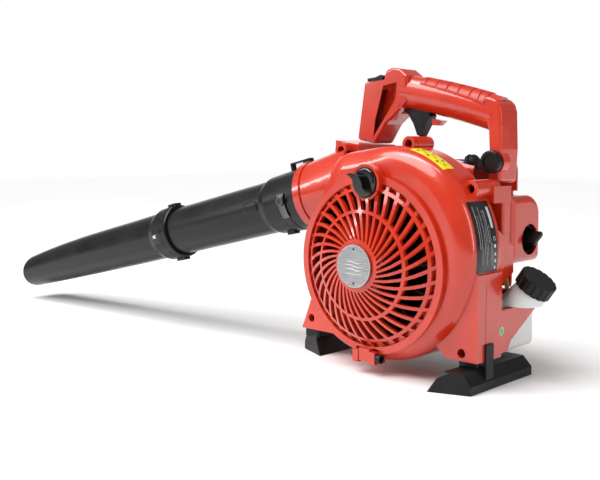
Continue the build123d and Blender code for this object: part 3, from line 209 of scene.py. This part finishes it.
def braid(name, dark, light):
    """Braided cord: two crossing sets of strands."""
    material, tree, shader = blank(name)
    where = place_nodes(tree)
    strands = node(tree, "ShaderNodeTexWave", Scale=260.0, Distortion=1.5)
    strands.bands_direction = "DIAGONAL"
    tree.links.new(where, strands.inputs["Vector"])
    tree.links.new(
        blend_colours(tree, strands.outputs["Fac"], dark, light, 0.2, 0.5),
        shader.inputs["Base Color"])
    tree.links.new(bump(tree, strands.outputs["Fac"], 0.6, 0.0008), shader.inputs["Normal"])
    tree.links.new(spread(tree, strands.outputs["Fac"], 0.7, 0.9), shader.inputs["Roughness"])
    shader.inputs["Sheen Weight"].default_value = 0.3
    return material


def brushed(name, dark, light, rough, stretch):
    """Metal brushed along one direction: the noise is squeezed across the brush lines."""
    return surface(name, dark, light, rough, patch=60.0, grain=700.0, relief=0.12, metal=1.0,
                   stretch=stretch)


RED = surface("red_gloss", (0.56, 0.026, 0.006), (0.66, 0.036, 0.009), (0.20, 0.30), patch=14.0,
              grain=420.0, relief=0.035, coat=0.70)
RED_SATIN = surface("red_satin", (0.44, 0.017, 0.005), (0.53, 0.024, 0.007), (0.32, 0.44),
                    patch=30.0, grain=1800.0, relief=0.10, coat=0.10, specular=0.4)
BLACK = surface("black_satin", (0.004, 0.004, 0.0045), (0.008, 0.008, 0.0085), (0.26, 0.38),
                grain=2200.0, relief=0.20, specular=0.3)
TUBE = surface("tube_black", (0.004, 0.0045, 0.0045), (0.008, 0.0085, 0.009), (0.26, 0.36),
               patch=25.0, grain=1600.0, relief=0.10, specular=0.35)
KNOB = surface("knob_gloss", (0.003, 0.003, 0.0035), (0.006, 0.006, 0.007), (0.08, 0.14),
               grain=500.0, relief=0.02, coat=0.5)
FOOT = surface("foot_rubber", (0.004, 0.004, 0.004), (0.009, 0.009, 0.0095), (0.34, 0.50),
               patch=60.0, grain=2600.0, relief=0.25, specular=0.3)
TANK = surface("tank_white", (0.80, 0.79, 0.75), (0.88, 0.88, 0.86), (0.32, 0.45), patch=18.0,
               grain=900.0, relief=0.08, subsurface=0.35)
HOSE = surface("fuel_hose", (0.62, 0.46, 0.06), (0.74, 0.58, 0.11), (0.22, 0.34), patch=50.0,
               grain=700.0, relief=0.05, transmission=0.25)
RUBBER = surface("soft_rubber", (0.014, 0.014, 0.014), (0.026, 0.026, 0.027), (0.55, 0.75),
                 grain=2400.0, relief=0.25)
GREY = surface("grey_plastic", (0.16, 0.16, 0.165), (0.22, 0.22, 0.225), (0.45, 0.6))
CAST = surface("cast_aluminium", (0.42, 0.42, 0.43), (0.58, 0.58, 0.59), (0.42, 0.62), patch=90.0,
               grain=1300.0, relief=0.45, metal=1.0)
STEEL = surface("machined_steel", (0.50, 0.50, 0.51), (0.64, 0.64, 0.65), (0.22, 0.34),
                patch=70.0, grain=1100.0, relief=0.08, metal=1.0)
CLIP_STEEL = surface("dark_steel", (0.10, 0.10, 0.105), (0.17, 0.17, 0.175), (0.30, 0.45),
                     patch=70.0, grain=1100.0, relief=0.10, metal=1.0)
BADGE = brushed("brushed_badge", (0.30, 0.30, 0.31), (0.48, 0.48, 0.49), (0.30, 0.46), (1, 1, 26))
OXIDE = surface("black_oxide", (0.012, 0.012, 0.013), (0.03, 0.03, 0.032), (0.25, 0.40),
                grain=900.0, relief=0.10, metal=0.6)
EXHAUST = exhaust_steel()
FOAM = cells("filter_foam", (0.012, 0.012, 0.014), (0.06, 0.06, 0.065), 620.0, 0.9)
ROPE = braid("starter_rope", (0.10, 0.10, 0.11), (0.72, 0.71, 0.68))
YELLOW = surface("yellow_film", (0.80, 0.72, 0.01), (0.86, 0.79, 0.02), (0.24, 0.32), coat=0.3)
PLATE = surface("black_film", (0.008, 0.008, 0.009), (0.014, 0.014, 0.015), (0.20, 0.30), coat=0.3)
INK_WHITE = surface("white_ink", (0.62, 0.62, 0.62), (0.78, 0.78, 0.78), (0.35, 0.45))
INK_BLACK = surface("black_ink", (0.010, 0.010, 0.010), (0.020, 0.020, 0.020), (0.35, 0.45))
INK_GREEN = surface("green_film", (0.03, 0.45, 0.12), (0.05, 0.55, 0.17), (0.30, 0.40))
INK_PALE = surface("pale_film", (0.45, 0.74, 0.50), (0.52, 0.80, 0.56), (0.30, 0.40))
# painted shade: a darker red that stands for the shadow in the case's parting groove
SEAM_SHADE = surface("seam_shadow", (0.16, 0.008, 0.004), (0.22, 0.012, 0.006), (0.55, 0.70))

FINISHES = {
    RED: "volute_front_shell volute_rear_shell intake_grille trigger_stop trigger_pin "
         "handle_left handle_right filter_cover engine_shroud starter_housing",
    BLACK: "starter_handle throttle_trigger stop_switch damper_cap filter_base choke_lever "
           "tank_cap impeller starter_pulley insulator_block",
    TUBE: "outlet_tube nozzle",
    KNOB: "grille_knob",
    FOOT: "front_foot rear_foot",
    TANK: "fuel_tank",
    HOSE: "fuel_line",
    RUBBER: "plug_cap tank_grommet cap_gasket primer_bulb",
    GREY: "ignition_coil",
    CAST: "crankcase_front crankcase_rear cylinder piston flywheel carburetor",
    STEEL: "crankshaft_front crankshaft_rear impeller_nut crank_bearings "
           "flywheel_nut connecting_rod wrist_pin recoil_spring spark_plug",
    CLIP_STEEL: "tube_clip clip_screw",
    BADGE: "grille_badge",
    OXIDE: "case_screws grille_hinge_pin",
    EXHAUST: "muffler muffler_guard",
    FOAM: "filter_element",
    ROPE: "wound_rope",
}


def finish_nodes():
    for material, names in FINISHES.items():
        for name in names.split():
            slots = NODES[name].data.materials
            slots.clear()
            slots.append(material)


# ---- mesh helpers ----

def piece(name, points, faces, material, body, smooth=True):
    mesh = bpy.data.meshes.new(name)
    mesh.from_pydata([tuple(point) for point in points], [], faces)
    mesh.update()
    mesh.materials.append(material)
    for polygon in mesh.polygons:
        polygon.use_smooth = smooth
    made = bpy.data.objects.new(name, mesh)
    bpy.context.scene.collection.objects.link(made)
    if body:
        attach(made, body)
    return made


def grid_faces(columns, rows, start=0, closed=False):
    """Quads of a grid that has columns points in each of rows rows."""
    faces = []
    last = columns if closed else columns - 1
    for row in range(rows - 1):
        for column in range(last):
            near = start + row * columns
            nearer = (column + 1) % columns
            faces.append((near + column, near + nearer,
                          near + columns + nearer, near + columns + column))
    return faces


def wall(*names):
    """The surface of some CAD nodes, for laying details on."""
    points, polygons = [], []
    for name in names:
        mesh = NODES[name].data
        base = len(points)
        points.extend(vertex.co.copy() for vertex in mesh.vertices)
        polygons.extend([base + index for index in polygon.vertices] for polygon in mesh.polygons)
    return BVHTree.FromPolygons(points, polygons)


def land(tree, start, direction, lift):
    """Where a ray from start meets the wall, lifted back off it; None where it misses."""
    hit = tree.ray_cast(start, direction)
    if hit[0] is None:
        return None
    return hit[0] - direction * lift


class Sheet:
    """Flat shapes laid on a curved wall. spot(u, v) gives the ray for a place in mm."""

    def __init__(self, tree, spot):
        self.tree, self.spot = tree, spot
        self.points, self.faces = [], []

    def rows(self, rows, lift):
        """Rows of (v, [u, ...]), each row with the same number of places."""
        base, columns = len(self.points), len(rows[0][1])
        found = []
        for v, places in rows:
            for u in places:
                start, direction = self.spot(u, v)
                point = land(self.tree, start, direction, lift)
                if point is None:
                    return
                found.append(point)
        self.points.extend(found)
        self.faces.extend(grid_faces(columns, len(rows), base))

    def rectangle(self, u, v, wide, tall, lift, corner=0.0, step=4.0):
        """A rectangle round (u, v), its corners rounded to the radius corner."""
        columns = max(2, int(wide / step) + 2)
        heights = [-tall / 2 + corner + (tall - 2 * corner) * k / 12 for k in range(13)]
        if corner:
            arc = [corner * (1 - cos(radians(angle))) for angle in (0, 20, 40, 60, 75)]
            heights = [-tall / 2 + a for a in arc] + heights + [tall / 2 - a for a in arc[::-1]]
        rows = []
        for height in heights:
            depth = max(0.0, abs(height) - (tall / 2 - corner))
            half = wide / 2 - corner + sqrt(max(0.0, corner * corner - depth * depth))
            rows.append((v + height, [u - half + 2 * half * k / (columns - 1)
                                      for k in range(columns)]))
        self.rows(rows, lift)

    def ring(self, u, v, inner, outer, lift, steps=28):
        """A flat ring; a disc where inner is 0."""
        base = len(self.points)
        found = []
        for k in range(steps + 1):
            turn = 2 * pi * k / steps
            for radius in (inner, outer):
                start, direction = self.spot(u + radius * cos(turn), v + radius * sin(turn))
                point = land(self.tree, start, direction, lift)
                if point is None:
                    return
                found.append(point)
        self.points.extend(found)
        self.faces.extend(grid_faces(2, steps + 1, base))

    def polygon(self, corners, lift):
        """One flat face with the given corners."""
        base = len(self.points)
        for u, v in corners:
            start, direction = self.spot(u, v)
            self.points.append(land(self.tree, start, direction, lift))
        self.faces.append(tuple(range(base, base + len(corners))))

    def build(self, name, material, body):
        return piece(name, self.points, self.faces, material, body)


# ---- stickers on the case ----

CASE = wall("volute_front_shell", "volute_rear_shell")


def rear_spot(u, v):
    """Looking at the machine from behind: u from the front face, v from the ground."""
    return at(220, u, v), Vector((-1, 0, 0))


def crown_spot(u, v):
    """On top of the scroll: u is the depth, v the angle above the +X direction."""
    turn = radians(v)
    outward = Vector((cos(turn), 0, sin(turn)))
    return SHAFT + Vector((0, u * MM, 0)) + outward * 0.2, -outward


PLATE_MIDDLE = (32.5, 161)            # all in mm: across the rear wall, and up from the ground
PLATE_SIZE = (37, 74)
PLATE_LINES = [                       # across, up, height, width of each bar of print
    (19.0, 171, 44, 0.45), (22.4, 158, 52, 0.35), (27.5, 168, 48, 0.45),
    (30.5, 152, 40, 0.35), (33.0, 166, 46, 0.35), (36.0, 172, 34, 0.55),
    (39.0, 154, 38, 0.35), (41.5, 142, 24, 0.35), (45.0, 181, 22, 4.0),
]
MARK_COLUMN = 46.0                    # across, for the plate's row of simple shapes
TEST_DOT = (60, 58)


def rating_plate():
    """Black data plate on the scroll's rear wall, its print reduced to plain bars and shapes."""
    plate = Sheet(CASE, rear_spot)
    plate.rectangle(*PLATE_MIDDLE, *PLATE_SIZE, FILM, corner=1.5)
    plate.build("rating_plate", PLATE, "machine")
    ink = Sheet(CASE, rear_spot)
    for u, v, tall, wide in PLATE_LINES:
        ink.rectangle(u, v, wide, tall, INK)
    ink.ring(MARK_COLUMN, 159, 1.6, 2.2, INK)
    ink.ring(MARK_COLUMN, 151, 0.0, 2.0, INK)
    for v in (143.0, 136.0, 129.0):
        corners = ((-2.2, -2.0), (2.2, -2.0), (0.0, 2.0))
        ink.polygon([(MARK_COLUMN + du, v + dv) for du, dv in corners], INK)
    ink.build("rating_plate_print", INK_WHITE, "machine")


def crown_strip():
    """Yellow strip over the top of the scroll, with rows of plain dots."""
    strip = Sheet(CASE, crown_spot)
    low, high = 51.0, 71.5            # degrees round the shaft, above level
    near, across, steps, columns = 14, 19, 18, 8
    rows = []
    for k in range(steps + 1):
        places = [near + across * n / columns for n in range(columns + 1)]
        rows.append((low + (high - low) * k / steps, places))
    strip.rows(rows, FILM)
    strip.build("crown_strip", YELLOW, "machine")
    dots = Sheet(CASE, crown_spot)
    margin = 3
    for k in range(6):
        angle = low + margin + k * (high - low - 2 * margin) / 5
        for u in (18.5, 23.5, 28.5):
            if (k + int(u)) % 2:
                wide = 2.6 if k % 2 else 1.8
                rows = [(angle + side * 0.65, [u - wide / 2, u + wide / 2]) for side in (-1, 1)]
                dots.rows(rows, INK)
    dots.build("crown_strip_print", INK_BLACK, "machine")


def test_dot():
    """Small round green sticker with a pale edge on the tank arm."""
    edge = Sheet(CASE, rear_spot)
    edge.ring(*TEST_DOT, 3.1, 4.6, FILM)
    edge.build("test_dot_edge", INK_PALE, "machine")
    dot = Sheet(CASE, rear_spot)
    dot.ring(*TEST_DOT, 0.0, 3.2, INK)
    dot.build("test_dot", INK_GREEN, "machine")


def case_seam_shade():
    """The parting line of the two case halves, down the rear panel, drawn as a thin strip of
    painted shade for its groove.
    """
    seam = Sheet(CASE, rear_spot)
    seam.rows([(v, [28.7, 29.1]) for v in range(34, 114, 4)], 0.00012)
    seam.build("case_seam_shade_rear", SEAM_SHADE, "machine")


# ---- badge ----

def badge_marks():
    """Two rivets, three plain waves, a line and a border on the grille's badge."""
    low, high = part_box("grille_badge")
    centre = (low + high) / 2
    front = low.y

    def spot(u, v):
        return Vector((centre.x + u * MM, front - 0.02, centre.z + v * MM)), Vector((0, 1, 0))

    badge = wall("grille_badge")
    rivets = Sheet(badge, spot)
    for v in (-19.0, 19.0):
        rivets.ring(0, v, 0.0, 1.3, 0.0002)
    rivets.build("badge_rivets", OXIDE, "grille")
    marks = Sheet(badge, spot)
    columns, wave = 24, 3.0 * 0.35
    for v, half in ((4.5, 10.0), (0.5, 13.0), (-3.5, 11.0)):
        base = len(marks.points)
        for side in (-0.75, 0.75):
            for k in range(columns + 1):
                t = k / columns
                thin = side * sqrt(max(0.02, sin(pi * min(max(t, 0.02), 0.98))))
                u = -half + 2 * half * t
                height = v + thin + wave * sin(2 * pi * t)
                start, direction = spot(u, height)
                marks.points.append(land(badge, start, direction, 0.00015))
        marks.faces.extend(grid_faces(columns + 1, 2, base))
    marks.rectangle(0, -8.5, 24, 0.7, 0.00015)
    marks.build("badge_marks", INK_WHITE, "grille")
    border = Sheet(badge, spot)
    border.ring(0, 0, 22.6, 23.2, 0.0001, steps=64)
    border.build("badge_border", STEEL, "grille")


# ---- handle ----

GRIP = wall("handle_left", "handle_right")
GRIP_LINE = [(-6, 318), (20, 313.6), (50, 307.2), (80, 299.2), (100, 293)]   # x, z of the grip


def grip_point(t):
    """A point on the grip's middle line and the line's direction, t from 0 to 1."""
    spans = len(GRIP_LINE) - 1
    number = min(int(t * spans), spans - 1)
    part = t * spans - number
    (x0, z0), (x1, z1) = GRIP_LINE[number], GRIP_LINE[number + 1]
    return Vector((x0 + (x1 - x0) * part, z0 + (z1 - z0) * part))


PAD_HEIGHT = 1.3             # mm
PAD_SINK = 0.12              # mm that the pad's edge lies inside the grip
PAD_ANGLES = (50, 24)        # degrees the pad reaches down each side, and what it gains rearwards
GROOVES = [0.10, 0.25, 0.40, 0.55, 0.70, 0.85]      # along the pad, from 0 to 1
GROOVE_DEPTH = 1.15          # mm
GROOVE_HALF = 0.013          # along the pad


def grip_panel():
    """Raised pad over the top of the grip, cut across by finger grooves."""
    stations, columns = 220, 29
    points = []
    for k in range(stations + 1):
        t = k / stations
        x, z = grip_point(0.12 + 0.86 * t)
        end = min(t, 1 - t) / 0.045
        rounding = sqrt(max(0.0, 1 - (1 - min(end, 1.0)) ** 2))
        limit = (PAD_ANGLES[0] + PAD_ANGLES[1] * t) * (0.80 + 0.20 * rounding)
        for n in range(columns):
            share = -1 + 2 * n / (columns - 1)
            angle = radians(limit * share)
            outward = Vector((0, -sin(angle), cos(angle)))
            height = PAD_HEIGHT * min(1.0, 7.0 * (1 - abs(share)), 2.0 * end)
            for groove in GROOVES:
                gap = abs(t - groove) / GROOVE_HALF
                if gap < 1:
                    height -= GROOVE_DEPTH * (1 - gap) * min(1.0, 4.0 * (1 - abs(share)))
            start = at(x, HANDLE_Y, z) + outward * 0.05
            hit = land(GRIP, start, -outward, 0.0)
            if hit is None:
                hit = at(x, HANDLE_Y, z) + outward * 0.018
            points.append(hit + outward * (max(height, 0.0) - PAD_SINK) * MM)
    piece("grip_panel", points, grid_faces(columns, stations + 1), RED_SATIN, "machine")


RIB_COUNT = 9
RIB_SECTION = ((-0.0009, -0.0002), (0, 0.0006), (0.0009, -0.0002))     # up, and off the trigger
RIB_MARGIN = 0.0015          # from the trigger's sides


def trigger_ribs():
    """Fine ribs across the face of the throttle trigger."""
    low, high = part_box("throttle_trigger")
    trigger = wall("throttle_trigger")
    points, faces = [], []
    for k in range(RIB_COUNT):
        z = low.z + (high.z - low.z) * (0.10 + 0.075 * k)
        base = len(points)
        rows = 0
        for n in range(9):
            y = low.y + RIB_MARGIN + (high.y - low.y - 2 * RIB_MARGIN) * n / 8
            start = Vector((low.x - 0.03, y, z))
            hit = trigger.ray_cast(start, Vector((1, 0, 0)))
            if hit[0] is None:
                continue
            rows += 1
            for dz, lift in RIB_SECTION:
                points.append(Vector((hit[0].x - lift, y, z + dz)))
        if rows > 1:
            faces.extend(grid_faces(3, rows, base))
    piece("trigger_ribs", points, faces, BLACK, "trigger")


# ---- air tube ----

def tube_strip(name, body, wall_tree, distances, angles, height, material=None):
    """A raised pad on the tube between two distances (mm) and two angles (degrees)."""
    points = []
    columns, rows = 13, 17
    for k in range(rows):
        along = distances[0] + (distances[1] - distances[0]) * k / (rows - 1)
        for n in range(columns):
            turn = angles[0] + (angles[1] - angles[0]) * n / (columns - 1)
            edge = min(k, rows - 1 - k, n, columns - 1 - n)
            start = on_tube(along, turn, 80)
            direction = (on_tube(along, turn, 0) - start).normalized()
            lift = -0.00015 if edge == 0 else height * MM
            point = land(wall_tree, start, direction, lift)
            points.append(point if point is not None else on_tube(along, turn, TUBE_R))
    piece(name, points, grid_faces(columns, rows), material or TUBE, body)


def tube_details():
    """Key, slot, peg, bands and mould line: distances from the rim, then angles, then height."""
    tube, nozzle = wall("outlet_tube"), wall("nozzle")
    tube_strip("tube_key", "tube", tube, (69, 94), (72, 98), 0.8)
    tube_strip("nozzle_slot", "nozzle", nozzle, (263, 281), (88, 112), 0.15, INK_BLACK)
    tube_strip("nozzle_peg", "nozzle", nozzle, (268, 274), (90, 98), 1.2, STEEL)
    tube_strip("nozzle_band", "nozzle", nozzle, (258, 262), (-170, 170), 0.9)
    tube_strip("collar_band", "tube", tube, (18.5, 27.5), (112, 176), 0.7)
    tube_strip("nozzle_line", "nozzle", nozzle, (300, 600), (117, 118.2), 0.25)


# ---- starter rope ----

ROPE_EXIT = (-28, 176, 168)           # where the rope leaves the starter's housing


def starter_rope():
    """The rope from the housing's exit into the handle."""
    low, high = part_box("starter_handle")
    exit_point = at(*ROPE_EXIT)
    top = Vector((exit_point.x, exit_point.y, (low.z + high.z) / 2))
    radius, sides, rings = 0.00175, 14, 40
    points = []
    for k in range(rings + 1):
        centre = exit_point.lerp(top, k / rings)
        for n in range(sides):
            turn = 2 * pi * n / sides + 0.25 * k
            strand = radius * (1 + 0.08 * cos(4 * turn))
            points.append(centre + Vector((cos(turn), sin(turn), 0)) * strand)
    faces = grid_faces(sides, rings + 1, closed=True)
    faces.append(tuple(range(sides))[::-1])
    faces.append(tuple(range(rings * sides, (rings + 1) * sides)))
    rope = piece("starter_rope", points, faces, ROPE, None)
    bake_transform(rope)


# ---- studio ----

AZIMUTH = radians(44.5)      # the camera's bearing, from the rear right
PITCH = radians(3.635)       # its tilt below level
EYE = (610, -735, 252)
FOCAL = 51.0
RISE = -0.06                 # shift that frames the machine
FILL, BACKDROP = 0.22, 1.0   # light from all round, and from the backdrop ahead of the camera
KEY_FALL = Vector((0.28, 0.42, -0.86))
FLOOR_REACH, FLOOR_STEPS = 12.0, 24


def studio():
    scene = bpy.context.scene
    scene.view_settings.view_transform = "Standard"
    floor_material, tree, shader = blank("studio_floor")
    where = place_nodes(tree)
    tree.links.new(
        blend_colours(tree, noise(tree, where, 3.0), (0.93, 0.93, 0.93), (0.95, 0.95, 0.95)),
        shader.inputs["Base Color"])
    shader.inputs["Roughness"].default_value = 0.6
    lines = [FLOOR_REACH * (k / FLOOR_STEPS - 0.5) for k in range(FLOOR_STEPS + 1)]
    points = [(x, y, 0.0) for y in lines for x in lines]
    mesh = bpy.data.meshes.new("studio_floor")
    mesh.from_pydata(points, [], grid_faces(len(lines), len(lines)))
    mesh.materials.append(floor_material)
    floor = bpy.data.objects.new("studio_floor", mesh)
    scene.collection.objects.link(floor)

    world = bpy.data.worlds.new("studio")
    world.use_nodes = True
    sky = world.node_tree
    background = sky.nodes["Background"]
    background.inputs["Color"].default_value = (1.0, 1.0, 1.0, 1)
    direction = sky.nodes.new("ShaderNodeTexCoord")
    toward = sky.nodes.new("ShaderNodeVectorMath")
    toward.operation = "DOT_PRODUCT"
    toward.inputs[1].default_value = (-sin(AZIMUTH), cos(AZIMUTH), 0)
    backdrop = node(sky, "ShaderNodeMapRange")
    backdrop.inputs["From Min"].default_value = 0.82
    backdrop.inputs["From Max"].default_value = 0.90
    backdrop.inputs["To Min"].default_value = FILL
    backdrop.inputs["To Max"].default_value = BACKDROP
    sky.links.new(direction.outputs["Generated"], toward.inputs[0])
    sky.links.new(toward.outputs["Value"], backdrop.inputs["Value"])
    sky.links.new(backdrop.outputs["Result"], background.inputs["Strength"])
    scene.world = world

    sun = bpy.data.lights.new("key", "SUN")
    sun.energy = 3.0
    sun.angle = radians(50)
    key = bpy.data.objects.new("key", sun)
    key.rotation_euler = KEY_FALL.to_track_quat("-Z", "Y").to_euler()
    scene.collection.objects.link(key)

    centre = (CAD_BOX[0] + CAD_BOX[1]) / 2
    lamps = [  # name, place, size, power
        ("softbox_top", Vector((0.1, -0.3, 1.9)), (1.4, 0.2), 8),
        ("softbox_left", Vector((-1.3, -1.6, 1.1)), (0.18, 1.3), 10),
        ("softbox_right", Vector((2.1, -0.2, 0.8)), (0.2, 1.4), 6),
    ]
    for name, place, (wide, tall), power in lamps:
        light = bpy.data.lights.new(name, "AREA")
        light.shape = "RECTANGLE"
        light.size, light.size_y = wide, tall
        light.energy = power
        lamp = bpy.data.objects.new(name, light)
        lamp.location = place
        lamp.rotation_euler = (centre - place).to_track_quat("-Z", "Y").to_euler()
        scene.collection.objects.link(lamp)


def camera():
    """Low three-quarter view from the rear right."""
    data = bpy.data.cameras.new("camera")
    data.sensor_width = 36.0
    data.lens = FOCAL
    data.shift_y = RISE
    eye = bpy.data.objects.new("camera", data)
    eye.location = at(*EYE)
    forward = Vector((-sin(AZIMUTH) * cos(PITCH), cos(AZIMUTH) * cos(PITCH), -sin(PITCH)))
    eye.rotation_euler = forward.to_track_quat("-Z", "Y").to_euler()
    bpy.context.scene.collection.objects.link(eye)
    bpy.context.scene.camera = eye


finish_nodes()
rating_plate()
crown_strip()
test_dot()
case_seam_shade()
badge_marks()
grip_panel()
trigger_ribs()
tube_details()
starter_rope()
studio()
camera()
